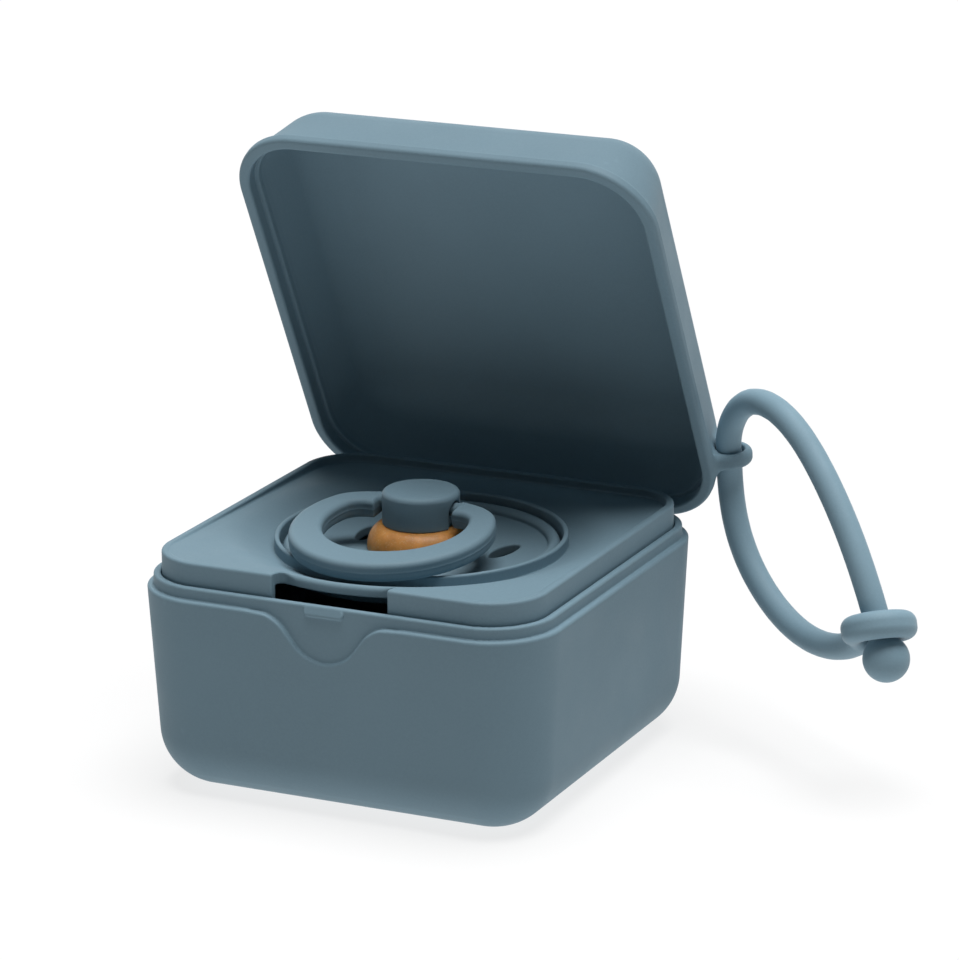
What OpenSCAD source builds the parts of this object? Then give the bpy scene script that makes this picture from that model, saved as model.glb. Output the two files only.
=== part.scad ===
// Pacifier sterilizer case: a soft-square box with a hinged lid, a lift-out insert,
// a pacifier lying in the insert's round well, and a silicone carry strap.
// Origin: middle of the underside of the base. X runs along the hinge, the lid opens
// towards +Y, Z is up. All sizes are in millimetres and are drawn as photographed,
// with the lid standing open.

/* [Case] */
// Width and depth of the case at its shoulder
case_w = 70; // [66:0.5:76]
// Corner radius of the case seen from above
case_corner_r = 11.5; // [10.5:0.5:14]
// Height of the shoulder that the lid closes on
shoulder_z = 32.9; // [31.9:0.1:33.9]
// Radius of the rounded bottom edge
bottom_edge_r = 9; // [6:0.5:9.5]
// How far the side walls lean in from shoulder to floor
wall_lean = 1.9; // [1:0.1:2.2]
// Wall thickness of the base
base_wall = 1.7; // [1.5:0.1:2]
// Floor thickness of the base
floor_t = 1.8; // [1.2:0.1:3]
// Step from the outer wall in to the collar
collar_step = 1.05; // [0.8:0.05:1.2]
// Height of the collar above the shoulder
collar_h = 1.9; // [1.4:0.1:2.1]
// Half width of the thumb recess in the front wall
recess_half_w = 11.75; // [10:0.25:13]
// Depth of the thumb recess below the shoulder
recess_drop = 7.1; // [5.5:0.1:9]
// Radius of the recess at its bottom and at its two shoulders
recess_r = 6.4; // [4:0.1:6.6]
// Width of the catch nub
nub_w = 6.8; // [5:0.1:7.5]
// Height of the catch nub
nub_h = 1.7; // [1.4:0.1:1.8]
// How far the catch nub stands off the collar
nub_out = 0.5; // [0.3:0.05:0.5]
// Thickness of the seat ribs inside the base
seat_rib_t = 1.2; // [0.8:0.1:2]
// Distance of each seat rib from the middle of its wall
seat_rib_at = 19; // [14:0.5:21]
// How far the seat ribs stand in from the wall
seat_rib_in = 2.6; // [2:0.1:3.2]

/* [Insert] */
// Top of the insert's rim above the ground
insert_top_z = 38.4; // [37.8:0.1:38.8]
// Underside of the insert's skirt above the ground
insert_bottom_z = 27; // [24:0.5:29]
// Running clearance between insert and collar
insert_gap = 0.15; // [0.1:0.05:0.3]
// Wall thickness of the insert
insert_wall = 1.4; // [1.1:0.1:1.6]
// How far the insert stands in from the case's shoulder
insert_step = 2.4; // [2.3:0.05:2.6]
// Drop of the deck from its front edge to its back edge
deck_drop = 1.5; // [0.8:0.1:2]
// Outer radius of the well's collar ring
well_r = 23.3; // [23:0.1:23.6]
// Wall thickness of the well's collar ring
well_wall = 1.1; // [0.9:0.1:1.2]
// Top of the well's collar ring above the ground
well_top_z = 36.8; // [36.5:0.1:36.9]
// Foot of the dish where it meets the collar ring
dish_foot_z = 35.3; // [34.9:0.1:35.6]
// Outer radius of the dish at the front rim
dish_r = 31.6; // [31.2:0.1:31.9]
// Radius of the plate's edge in the finger notch
notch_r = 30.4; // [30:0.1:30.6]
// Width of the finger notch
notch_w = 19.7; // [16:0.1:21]
// How far the finger notch lies right of the middle
notch_x = 0.25; // [-1:0.05:1]
// How far the ledge reaches in past the middle of the shield's bead
ledge_lap = 0.5; // [0.2:0.1:0.9]
// Thickness of the ledge
ledge_t = 1.4; // [1:0.1:2]

/* [Lid] */
// How far the lid's rim stands proud of the shoulder
lid_overhang = 1; // [0.8:0.05:1.2]
// Depth of the lid from rim to top
lid_depth = 16.7; // [15.5:0.1:18]
// How far the lid's walls lean in over its depth
lid_lean = 4.7; // [4.2:0.1:5]
// Radius of the lid's top edge
lid_edge_r = 6.5; // [5:0.1:7]
// Wall thickness of the lid
lid_wall = 1.4; // [1.2:0.05:1.45]
// Gap between the closed lid and the shoulder
lid_gap = 0.1; // [0.05:0.05:0.3]
// Width of the bead round the rim
bead_w = 1.7; // [1.5:0.05:1.75]
// How far the bead stands proud of the lid's wall
bead_out = 0.3; // [0.1:0.05:0.4]
// Height of the bead
bead_h = 1.8; // [1.4:0.1:2]
// Opening angle of the lid in the photographed pose
lid_open = 63; // [0:1:100]

/* [Hinge] */
// Distance of the hinge axis behind the case's wall
hinge_back = 1.45; // [1.3:0.05:1.6]
// Distance of the hinge axis below the shoulder
hinge_drop = 1.15; // [1:0.05:1.3]
// Outer radius of the hinge knuckles
knuckle_r = 1.9; // [1.7:0.05:2]
// Radius of the hinge pin
hinge_pin_r = 0.9; // [0.7:0.05:1]
// Length of the lid's knuckle
lid_knuckle_l = 22; // [16:1:30]
// Length of each base knuckle
base_knuckle_l = 6; // [4:0.5:9]
// Gap beside and around each knuckle
knuckle_gap = 0.3; // [0.2:0.05:0.4]

/* [Pacifier] */
// Clearance all round between the shield and the well
shield_gap = 0.8; // [0.6:0.1:1.6]
// Gap under the shield's bead where it lies on the ledge
shield_lift = 0.15; // [0.1:0.05:0.3]
// Top of the shield's rim above the ground
shield_top_z = 36.25; // [36:0.05:36.5]
// Radius of the bead round the shield
shield_bead_r = 1.05; // [0.9:0.05:1.2]
// Thickness of the shield's plate
shield_t = 1.9; // [1.5:0.1:2]
// Length of each vent hole
vent_l = 7.9; // [5:0.1:9]
// Width of each vent hole
vent_w = 2.9; // [2.5:0.1:3.6]
// Half the distance between the two vent holes
vent_at = 12.1; // [11.8:0.1:12.6]
// How far the pair of vent holes lies right of the middle
vent_x = 0.95; // [0:0.05:1]
// How far the vent holes lie behind the middle
vent_y = 3.8; // [0:0.1:5]
// Angle by which each vent hole leans outwards at its back end
vent_turn = 7.3; // [0:0.1:15]
// Radius of the knob
knob_r = 6.2; // [6:0.05:6.3]
// Top of the knob above the ground
knob_top_z = 44.2; // [43.9:0.1:44.6]
// Underside of the knob above the ground
knob_bottom_z = 38.7; // [38.4:0.1:39]
// Radius of the nipple's flange under the knob
flange_r = 8.65; // [8.2:0.05:8.8]
// Radius of the nipple's neck where it passes the shield
neck_r = 6.6; // [6:0.1:7]
// Radius of the nipple's bulb
bulb_r = 8.2; // [7:0.1:9]
// Lowest point of the nipple above the ground
nipple_bottom_z = 7.5; // [6:0.5:10]
// Wall thickness of the nipple
nipple_wall = 1.6; // [1.2:0.1:2]
// Height of the ring's pivot above the ground
pivot_z = 41.5; // [41.3:0.1:41.7]
// Radius of the ring's pivot pins
pivot_r = 1.1; // [0.9:0.05:1.2]
// Mean radius of the handle ring
ring_r = 13.4; // [12.9:0.1:13.9]
// Width of the handle ring's section
ring_w = 5.1; // [4.6:0.1:5.3]
// Thickness of the handle ring
ring_t = 3.2; // [2.8:0.1:3.3]
// Distance from the pivot to the middle of the ring
ring_reach = 10.7; // [10.3:0.1:11]
// Downward tilt of the ring as it lies on the insert
ring_tilt = 7.1; // [7:0.1:8]
// Half width of the gap in the ring
ring_gap_half = 6.65; // [6.5:0.05:6.8]

/* [Strap] */
// Diameter of the silicone cord
strap_d = 4.2; // [3.8:0.1:4.3]
// Outer radius of the lug on the lid
lug_r = 3.7; // [3.5:0.05:4]
// Thickness of the lug
lug_t = 2.6; // [2:0.1:3]
// Radius of the hole in the lug
lug_hole_r = 2.4; // [2.35:0.05:2.6]
// Mean radius of the eyelet
eyelet_r = 4.15; // [4.1:0.05:4.4]
// Height of the eyelet along its hole
eyelet_t = 4.4; // [4:0.1:4.6]
// Width of the eyelet from its hole to its outside
eyelet_w = 3.6; // [3.2:0.1:3.6]
// Diameter of the ball at the end of the strap
ball_d = 7.4; // [6.5:0.1:7.8]

/* [Hidden] */
$fn = 64;
eps = 0.02;

// colours, as photographed
blue_grey = [0.45, 0.54, 0.60];
deep_blue_grey = [0.40, 0.50, 0.56];
latex = [0.72, 0.50, 0.28];

// steps per quarter turn of the moulded shells
corner_steps = 9;
edge_steps = 6;

case_half = case_w / 2;
collar_half = case_half - collar_step;
collar_top_z = shoulder_z + collar_h;
insert_half = case_half - insert_step;
collar_in_half = insert_half + insert_gap;
hinge_y = case_half + hinge_back;
hinge_z = shoulder_z - hinge_drop;
hinge_half = lid_knuckle_l / 2 + knuckle_gap + base_knuckle_l;

// closed lid: its rim plane, half sizes at the rim and rim-to-top height
lid_rim_z = shoulder_z + lid_gap;
lid_half_x = case_half + lid_overhang;
lid_half_y = hinge_y - 0.15;
lid_ledge_h = collar_h + 0.2;

// well and dish of the insert
deck_t = insert_wall;
well_in_r = well_r - well_wall;
ledge_top_z = shield_top_z - 2 * shield_bead_r - shield_lift;
dish_slope = (insert_top_z - dish_foot_z) / (dish_r - well_r);

// pacifier
shield_bead_z = shield_top_z - shield_bead_r;
shield_bead_at = well_in_r - shield_gap - shield_bead_r;
shield_low_z = shield_bead_z - 0.6;
plug_r = neck_r - nipple_wall;
bulb_z = nipple_bottom_z + bulb_r;
neck_gap = 0.1;
peg_r = 2;
slot_deep = 1.3;
slot_w = 3.8;
ring_edge_r = 0.75;

// strap lug: middle of its hole on the closed lid, and the slant of the hole
lug_gap = 0.7;
lug_along = 9.3;
lug_up = 4.8;
lug_slant = 19;
lug_x = lid_half_x - lid_lean * lug_up / lid_depth + lug_gap + strap_d / 2;
lug_at = [lug_x, lid_half_y - lug_along, lid_rim_z + lug_up];

// strap route, lid open as photographed: out of the lug, over the arch and down
// through the eyelet to the ball; and out of the lug, down and round to the eyelet
upper_route = [[37.4, 37.6, 42.9], [37.4, 37.3, 45.3], [37.7, 37.0, 48.4], [39.3, 36.0, 51.6],
    [42.6, 33.7, 54.2], [46.8, 30.7, 54.9], [51.0, 27.7, 53.8], [54.7, 25.1, 51.8],
    [57.7, 23.0, 49.4], [60.2, 21.2, 46.8], [62.7, 19.4, 44.0], [64.7, 18.0, 41.2],
    [66.7, 16.6, 38.4], [68.4, 15.3, 35.6], [69.9, 14.2, 32.8], [71.4, 13.1, 30.0],
    [72.7, 12.3, 27.0], [74.5, 10.9, 22.7]];
lower_route = [[37.4, 37.6, 42.9], [37.4, 37.9, 40.5], [37.4, 37.6, 37.8], [38.1, 37.0, 35.0],
    [39.2, 36.2, 32.2], [40.6, 35.2, 29.5], [42.4, 34.0, 27.0], [44.7, 32.3, 24.7],
    [47.4, 30.4, 22.7], [50.5, 28.2, 21.2], [53.7, 25.9, 20.1], [57.1, 23.4, 19.6],
    [60.4, 21.1, 19.9], [63.4, 18.9, 20.6], [66.2, 16.9, 21.9], [69.5, 14.1, 24.4]];
// direction square to the plane that the strap loop lies in
loop_normal = [0.58, 0.81, 0];
eyelet_at = [72.67, 12.34, 27.03];
eyelet_axis = [-0.276, 0.358, 0.891];
ball_at = [74.5, 10.85, 22.7];

// ---- outlines and sweeps ----

// soft-square ring of points at height z: half sizes hx, hy and corner radius r
function soft_square(hx, hy, r, z) =
    [for (quarter = [0:3], step = [0:corner_steps])
        let (a = 90 * (quarter + step / corner_steps),
             cx = (quarter == 0 || quarter == 3 ? 1 : -1) * (hx - r),
             cy = (quarter < 2 ? 1 : -1) * (hy - r))
        [cx + r * cos(a), cy + r * sin(a), z]];

// the same ring drawn in by d, which keeps the wall between two rings even
function drawn_in(hx, hy, r, d, z) = soft_square(hx - d, hy - d, max(r - d, 0.4), z);

// skin through rings of equal length, closed by the first and the last ring
module loft(rings) {
    n = len(rings[0]);
    points = [for (ring = rings) each ring];
    sides = [for (k = [0:len(rings) - 2], i = [0:n - 1])
        let (a = k * n + i, b = k * n + (i + 1) % n)
        each [[a, a + n, b + n], [a, b + n, b]]];
    first = [for (i = [0:n - 1]) i];
    last = [for (i = [n - 1:-1:0]) (len(rings) - 1) * n + i];
    polyhedron(points = points, faces = concat(sides, [first], [last]), convexity = 6);
}

function unit(v) = v / norm(v);

// direction of the route at point i
function heading(route, i) =
    unit(route[min(i + 1, len(route) - 1)] - route[max(i - 1, 0)]);

// round tube of diameter d along a route that lies near one plane
module tube(route, d, normal, sides) {
    loft([for (i = [0:len(route) - 1])
        let (t = heading(route, i), u = unit(cross(normal, t)), v = cross(t, u))
        [for (k = [0:sides - 1])
            let (a = 360 * k / sides) route[i] + d / 2 * (cos(a) * u + sin(a) * v)]]);
}

// stadium of length l and width w along X
module stadium(l, w) {
    square([l - w, w], center = true);
    for (s = [-1, 1]) translate([s * (l - w) / 2, 0]) circle(d = w);
}

// rectangle with round corners, made of true arcs
module soft_rect(w, h, r) {
    square([w - 2 * r, h], center = true);
    square([w, h - 2 * r], center = true);
    for (sx = [-1, 1], sy = [-1, 1])
        translate([sx * (w / 2 - r), sy * (h / 2 - r)]) circle(r = r);
}

// turns what is drawn closed to the lid's photographed pose
module as_opened() {
    translate([0, hinge_y, hinge_z]) rotate([-lid_open, 0, 0])
        translate([0, -hinge_y, -hinge_z]) children();
}

// rod along X round the hinge axis, from x = from to x = to
module hinge_rod(r, from, to) {
    translate([from, hinge_y, hinge_z]) rotate([0, 90, 0]) cylinder(r = r, h = to - from);
}

// places a child, drawn round Z, so that its Z axis points along the heading
module aim(at, heading) {
    turn = atan2(heading[1], heading[0]);
    lean = acos(heading[2] / norm(heading));
    translate(at) rotate([0, lean, turn]) children();
}

// ---- base ----

// lean of the base wall at height z, measured in from the shoulder
function wall_in(z) = wall_lean * (1 - z / shoulder_z);

// quarter-round of radius r: how far the edge is drawn in at angle a
function round_in(r, a) = r * (1 - cos(a));

module base_shell() {
    function base_ring(d, z) = drawn_in(case_half, case_half, case_corner_r, d, z);
    in_r = bottom_edge_r - base_wall;
    in_d = case_half - collar_in_half;
    step_z = insert_bottom_z - 1;
    soft = 0.3;
    loft(concat(
        [for (k = [0:edge_steps])
            let (a = 90 - 90 * k / edge_steps, z = bottom_edge_r * (1 - sin(a)))
            base_ring(wall_in(z) + round_in(bottom_edge_r, a), z)],
        [base_ring(wall_in(shoulder_z - soft), shoulder_z - soft),
         base_ring(soft, shoulder_z),
         base_ring(collar_step, shoulder_z),
         base_ring(collar_step, collar_top_z - 0.2),
         base_ring(collar_step + 0.2, collar_top_z),
         base_ring(in_d, collar_top_z),
         base_ring(in_d, step_z + 1),
         base_ring(wall_in(step_z) + base_wall, step_z - 1)],
        [for (k = [0:edge_steps])
            let (a = 90 * k / edge_steps, z = floor_t + in_r * (1 - sin(a)))
            base_ring(wall_in(z) + base_wall + round_in(in_r, a), z)]));
}

// thumb recess in the outer skin, down to the collar's face: on each side a slope runs
// tangentially from the round bottom into a round shoulder
module thumb_recess() {
    half = recess_half_w;
    drop = recess_drop;
    r = min(recess_r, (half * half + drop * drop) / (4 * drop) - 0.05);
    steep = atan2(drop - 2 * r, half) + asin(2 * r / norm([half, drop - 2 * r]));
    low = shoulder_z - drop;
    side = concat(
        [for (k = [0:8]) let (a = steep * k / 8) [r * sin(a), low + r * (1 - cos(a))]],
        [for (k = [8:-1:0]) let (a = steep * k / 8)
            [half - r * sin(a), shoulder_z - r * (1 - cos(a))]]);
    other = [for (k = [len(side) - 1:-1:1]) [-side[k][0], side[k][1]]];
    translate([0, -collar_half, 0]) rotate([90, 0, 0])
        linear_extrude(height = 2 * collar_step)
            polygon(concat(other, side, [[half, shoulder_z + 1], [-half, shoulder_z + 1]]));
}

module catch_nub() {
    translate([0, -collar_half + eps, collar_top_z - nub_h / 2 - 0.02]) rotate([90, 0, 0])
        linear_extrude(height = nub_out + eps) stadium(nub_w, nub_h);
}

// one hinge knuckle of the base with the web that carries it, on side s
module base_knuckle(s) {
    inner = lid_knuckle_l / 2 + knuckle_gap;
    x0 = s > 0 ? inner : -inner - base_knuckle_l;
    root_y = case_half - wall_in(hinge_z) - 0.5;
    hinge_rod(knuckle_r, x0, x0 + base_knuckle_l);
    translate([x0, 0, 0]) rotate([90, 0, 90]) linear_extrude(height = base_knuckle_l)
        polygon([[root_y, shoulder_z - 0.2], [root_y, hinge_z - 5],
                 [hinge_y + 0.76 * knuckle_r, hinge_z - 0.64 * knuckle_r],
                 [hinge_y, shoulder_z - 0.2]]);
}

// ribs on the inside of the walls that the insert's skirt stands on
module seat_ribs() {
    reach = insert_half - seat_rib_in;
    root = case_half - wall_in(insert_bottom_z / 2) - base_wall + 0.5;
    foot_z = bottom_edge_r * 0.8;
    for (turn = [0:3], s = [-1, 1]) rotate([0, 0, 90 * turn])
        translate([s * seat_rib_at - seat_rib_t / 2, reach, 0]) rotate([90, 0, 90])
            linear_extrude(height = seat_rib_t)
                polygon([[0, insert_bottom_z], [root - reach, insert_bottom_z],
                         [root - reach, foot_z], [seat_rib_in * 0.6, foot_z]]);
}

module base_case() {
    color(blue_grey) difference() {
        union() {
            base_shell();
            catch_nub();
            seat_ribs();
            for (s = [-1, 1]) base_knuckle(s);
        }
        difference() {
            thumb_recess();
            catch_nub();
        }
        hinge_rod(knuckle_r + knuckle_gap, -lid_knuckle_l / 2 - knuckle_gap,
                  lid_knuckle_l / 2 + knuckle_gap);
        hinge_rod(hinge_pin_r + 0.02, -hinge_half - 1, hinge_half + 1);
    }
}

module hinge_pin() {
    color("silver") hinge_rod(hinge_pin_r, -hinge_half, hinge_half);
}

// ---- insert ----

// height of the deck at depth y: level with the rim in front, lower at the back
function deck_z(y) = insert_top_z - deck_drop * (y + insert_half) / (2 * insert_half);

module insert_shell() {
    function insert_ring(d, z) =
        drawn_in(insert_half, insert_half, case_corner_r - insert_step, d, z);
    function on_deck(ring, down) = [for (p = ring) [p[0], p[1], deck_z(p[1]) - down]];
    rim = 1.2;
    soft = 0.35;
    loft([on_deck(insert_ring(insert_wall, 0), deck_t),
          insert_ring(insert_wall, insert_bottom_z),
          insert_ring(0, insert_bottom_z),
          insert_ring(0, insert_top_z - soft),
          insert_ring(soft * 0.3, insert_top_z - soft * 0.3),
          insert_ring(soft, insert_top_z),
          insert_ring(rim, insert_top_z),
          on_deck(insert_ring(rim + 0.15, 0), 0)]);
}

// the dish, the well's collar ring and the ledge that the shield lies on, as one revolve
module well() {
    ledge_r = shield_bead_at - ledge_lap;
    rotate_extrude($fn = 96) polygon([
        [well_in_r, well_top_z - 0.3], [well_in_r + 0.3, well_top_z], [well_r - 0.4, well_top_z],
        [well_r, well_top_z - 0.4], [well_r + 0.15, dish_foot_z + 0.25],
        [well_r + 0.6, dish_foot_z + 0.1], [dish_r, insert_top_z],
        [dish_r, insert_top_z - 2],
        [well_r + 0.9, dish_foot_z - deck_t], [well_r, ledge_top_z - ledge_t],
        [ledge_r, ledge_top_z - ledge_t], [ledge_r, ledge_top_z], [well_in_r, ledge_top_z]]);
}

// what is taken out of the flat deck to make room for the dish and the well
module dish_cut() {
    low = insert_top_z - deck_drop - deck_t - 2;
    rotate_extrude($fn = 96) polygon([
        [0, insert_top_z + 1], [0, low], [well_r - 0.6, low], [well_r + 0.6, dish_foot_z - 0.2],
        [dish_r - 0.3, insert_top_z - 0.4], [dish_r, insert_top_z + 1]]);
}

// all above the deck, outside the well's collar ring
module above_deck() {
    difference() {
        translate([0, -insert_half, insert_top_z - 0.05])
            rotate([-atan(deck_drop / (2 * insert_half)), 0, 0])
                translate([-case_half, -2, 0]) cube([case_w, case_w + 4, 6]);
        cylinder(r = well_r + 0.5, h = 60);
    }
}

// finger notch through the front wall and the deck, back to an arc round the well
module finger_notch() {
    corner = 2;
    back = -notch_r + 4;
    difference() {
        translate([notch_x, 0, collar_top_z - 1.6]) linear_extrude(height = 20) union() {
            translate([-notch_w / 2, -case_half])
                square([notch_w, case_half + back - corner]);
            translate([-notch_w / 2 + corner, -case_half])
                square([notch_w - 2 * corner, case_half + back]);
            for (s = [-1, 1]) translate([s * (notch_w / 2 - corner), back - corner])
                circle(r = corner);
        }
        translate([0, 0, collar_top_z - 3]) cylinder(r = notch_r, h = 24, $fn = 96);
    }
}

// room between the insert's walls, as far out as their middle
module between_walls() {
    ring = drawn_in(insert_half, insert_half, case_corner_r - insert_step, insert_wall / 2, 0);
    linear_extrude(height = insert_top_z) polygon([for (p = ring) [p[0], p[1]]]);
}

module insert_tray() {
    color(blue_grey) difference() {
        union() {
            difference() {
                insert_shell();
                dish_cut();
            }
            intersection() {
                difference() {
                    well();
                    above_deck();
                }
                between_walls();
            }
        }
        finger_notch();
    }
}

// ---- lid, drawn closed and then opened ----

// lean of the lid wall at height w above its rim
function lid_in(w) = lid_lean * w / lid_depth;

module lid_shell() {
    function lid_ring(d, w) =
        drawn_in(lid_half_x, lid_half_y, case_corner_r, d, lid_rim_z + w);
    in_r = lid_edge_r - lid_wall;
    loft(concat(
        [for (k = [edge_steps:-1:0])
            let (a = 90 * k / edge_steps, w = lid_depth - lid_wall - in_r * (1 - sin(a)))
            lid_ring(lid_in(w) + lid_wall + round_in(in_r, a), w)],
        [lid_ring(lid_in(lid_ledge_h + 2) + lid_wall, lid_ledge_h + 2),
         lid_ring(lid_in(lid_ledge_h) + lid_wall + 0.35, lid_ledge_h + 1),
         lid_ring(lid_in(lid_ledge_h) + lid_wall + 0.35, lid_ledge_h),
         lid_ring(bead_w, lid_ledge_h - 0.1),
         lid_ring(bead_w, 0.2),
         lid_ring(bead_w - 0.2, 0),
         lid_ring(0.2 - bead_out, 0),
         lid_ring(-bead_out, 0.25),
         lid_ring(lid_in(bead_h) - bead_out, bead_h - 0.3),
         lid_ring(lid_in(bead_h), bead_h)],
        [for (k = [0:edge_steps])
            let (a = 90 * k / edge_steps, w = lid_depth - lid_edge_r * (1 - sin(a)))
            lid_ring(lid_in(w) + round_in(lid_edge_r, a), w)]));
}

// lug for the strap: a round eye on the right wall, gusseted where it joins the lid
module strap_lug() {
    wall_x = lid_half_x - lid_in(lug_up) - lid_wall / 2;
    difference() {
        translate(lug_at) rotate([90 - lug_slant, 0, 0]) union() {
            rotate_extrude() translate([lug_hole_r, 0])
                translate([(lug_r - lug_hole_r) / 2, 0])
                    soft_rect(lug_r - lug_hole_r, lug_t, 0.55);
            rotate([-90, 0, 0]) translate([0, 0, -lug_r * 0.9])
                linear_extrude(height = lug_r * 1.8)
                    polygon([[wall_x - lug_x, -lug_t], [-lug_hole_r * 0.75, -lug_t / 2],
                             [-lug_hole_r * 0.75, lug_t / 2], [wall_x - lug_x, lug_t]]);
        }
        lug_bore(lug_hole_r);
    }
}

// hole of the lug, radius r
module lug_bore(r) {
    translate(lug_at) rotate([90 - lug_slant, 0, 0])
        translate([0, 0, -lug_t * 2]) cylinder(r = r, h = lug_t * 4);
}

// the lid's knuckle and the web that ties it to the back wall
module lid_knuckle() {
    half = lid_knuckle_l / 2;
    hinge_rod(knuckle_r, -half, half);
    translate([-half, 0, 0]) rotate([90, 0, 90]) linear_extrude(height = lid_knuckle_l)
        polygon([[lid_half_y - bead_w + 0.3, lid_rim_z + 0.05], [hinge_y + knuckle_r, hinge_z],
                 [hinge_y + knuckle_r - 0.2, hinge_z + 1.4],
                 [lid_half_y - lid_in(8) - 0.3, lid_rim_z + 8]]);
}

module lid() {
    color(deep_blue_grey) as_opened() difference() {
        union() {
            difference() {
                lid_shell();
                for (s = [-1, 1])
                    hinge_rod(knuckle_r + knuckle_gap,
                              s > 0 ? lid_knuckle_l / 2 : -hinge_half - knuckle_gap,
                              s > 0 ? hinge_half + knuckle_gap : -lid_knuckle_l / 2);
            }
            lid_knuckle();
            strap_lug();
        }
        hinge_rod(hinge_pin_r + 0.06, -hinge_half - 1, hinge_half + 1);
    }
}

// ---- pacifier ----

module pacifier_shield() {
    in_r = neck_r + neck_gap;
    mid_r = neck_r + 0.4 * (shield_bead_at - neck_r);
    outer_r = neck_r + 0.7 * (shield_bead_at - neck_r);
    color(blue_grey) difference() {
        rotate_extrude($fn = 96) polygon(concat(
            [[in_r, shield_low_z - shield_t], [mid_r, shield_low_z - shield_t + 0.1],
             [outer_r, shield_low_z - shield_t + 0.5]],
            [for (k = [0:12]) let (a = -110 + 270 * k / 12)
                [shield_bead_at + shield_bead_r * cos(a), shield_bead_z + shield_bead_r * sin(a)]],
            [[outer_r, shield_low_z + 0.25], [mid_r, shield_low_z + 0.05],
             [in_r, shield_low_z]]));
        for (s = [-1, 1]) translate([vent_x + s * vent_at, vent_y, shield_low_z - 3])
            rotate([0, 0, 90 - s * vent_turn]) linear_extrude(height = 6)
                stadium(vent_l, vent_w);
    }
}

// nipple: flange over the shield, neck through it, and a round hollow bulb
module pacifier_nipple() {
    seat_z = shield_low_z + 0.05;
    neck_z = shield_low_z - shield_t - 1;
    function bulb(r, from, to) = [for (k = [0:10])
        let (a = from + (to - from) * k / 10) [r * cos(a), bulb_z + r * sin(a)]];
    in_r = bulb_r - nipple_wall;
    lip_r = knob_r - 0.35;
    color(latex) rotate_extrude($fn = 72) polygon(concat(
        [[plug_r + 0.05, knob_bottom_z], [lip_r, knob_bottom_z]],
        [for (k = [0:6]) let (a = 90 * (1 - k / 6))
            [flange_r - (flange_r - lip_r) * (1 - cos(a)),
             seat_z + 0.5 + (knob_bottom_z - seat_z - 0.5) * sin(a)]],
        [[flange_r - 0.5, seat_z], [neck_r, seat_z], [neck_r, neck_z],
         [neck_r - 1.2, neck_z - 3], [neck_r - 1.6, bulb_z + bulb_r + 2]],
        bulb(bulb_r, 50, -90), bulb(in_r, -90, 40),
        [[neck_r - 1.6 - nipple_wall, bulb_z + bulb_r + 2],
         [neck_r - 1.2 - nipple_wall, neck_z - 3], [plug_r + 0.05, neck_z - 1]]));
}

// plug that spreads the neck of the nipple in the shield and carries the knob
module pacifier_plug() {
    color(blue_grey) rotate_extrude() polygon([
        [0, shield_low_z - shield_t - 1], [plug_r - 0.6, shield_low_z - shield_t - 1],
        [plug_r, shield_low_z - shield_t - 0.4], [plug_r, knob_bottom_z],
        [peg_r, knob_bottom_z], [peg_r, knob_bottom_z + 1.2], [0, knob_bottom_z + 1.2]]);
}

module pacifier_knob() {
    edge = 0.9;
    color(blue_grey) difference() {
        rotate_extrude() polygon(concat(
            [[0, knob_bottom_z], [knob_r - 0.25, knob_bottom_z], [knob_r, knob_bottom_z + 0.25]],
            [for (k = [0:6]) let (a = 90 * k / 6)
                [knob_r - edge + edge * cos(a), knob_top_z - edge + edge * sin(a)]],
            [[knob_r - 2.2, knob_top_z - 0.12], [0, knob_top_z - 0.3]]));
        translate([0, 0, knob_bottom_z - 1]) cylinder(r = peg_r + 0.03, h = 2.3);
        for (s = [-1, 1]) {
            // arched slot, open downwards
            translate([s > 0 ? knob_r - slot_deep : -knob_r - 1, 0, pivot_z])
                rotate([90, 0, 90]) linear_extrude(height = slot_deep + 1) union() {
                    circle(d = slot_w);
                    translate([-slot_w / 2, -10]) square([slot_w, 10]);
                }
            // bearing of the ring's pin
            translate([s > 0 ? knob_r - 3.2 : -knob_r, 0, pivot_z])
                rotate([0, 90, 0]) cylinder(r = pivot_r + 0.05, h = 3.2);
        }
    }
}

// handle ring: a C whose two arms end in pins, lying forwards on the insert
module pacifier_ring() {
    pin_in = knob_r - 2.9;
    arm_back = 1.4;
    color(blue_grey) translate([0, 0, pivot_z]) rotate([ring_tilt, 0, 0]) {
        difference() {
            translate([0, -ring_reach, 0]) rotate_extrude($fn = 96)
                translate([ring_r, 0]) soft_rect(ring_w, ring_t, ring_edge_r);
            translate([-ring_gap_half, -4.6, -ring_t]) cube([2 * ring_gap_half, 14, 2 * ring_t]);
            translate([-ring_r, arm_back, -ring_t]) cube([2 * ring_r, 14, 2 * ring_t]);
        }
        for (s = [-1, 1])
            translate([s > 0 ? pin_in : -ring_gap_half - 1, 0, 0]) rotate([0, 90, 0])
                cylinder(r = pivot_r, h = ring_gap_half + 1 - pin_in);
    }
}

// ---- strap ----

// run from the lug over the arch and through the eyelet, up to the face of the ball
module strap_upper() {
    color(blue_grey) difference() {
        tube(upper_route, strap_d, loop_normal, 10);
        ball();
    }
}

// run from the lug down and round, up to the face of the eyelet
module strap_lower() {
    color(blue_grey) difference() {
        tube(lower_route, strap_d, loop_normal, 10);
        eyelet();
    }
}

// eyelet moulded on the strap's lower end; the upper end is pulled through it
module eyelet() {
    aim(eyelet_at, eyelet_axis) rotate_extrude() translate([eyelet_r, 0])
        rotate([0, 0, 90]) stadium(eyelet_t, eyelet_w);
}

module ball() {
    translate(ball_at) sphere(d = ball_d);
}

module strap_eyelet() {
    color(blue_grey) eyelet();
}

module strap_ball() {
    color(blue_grey) ball();
}

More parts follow.
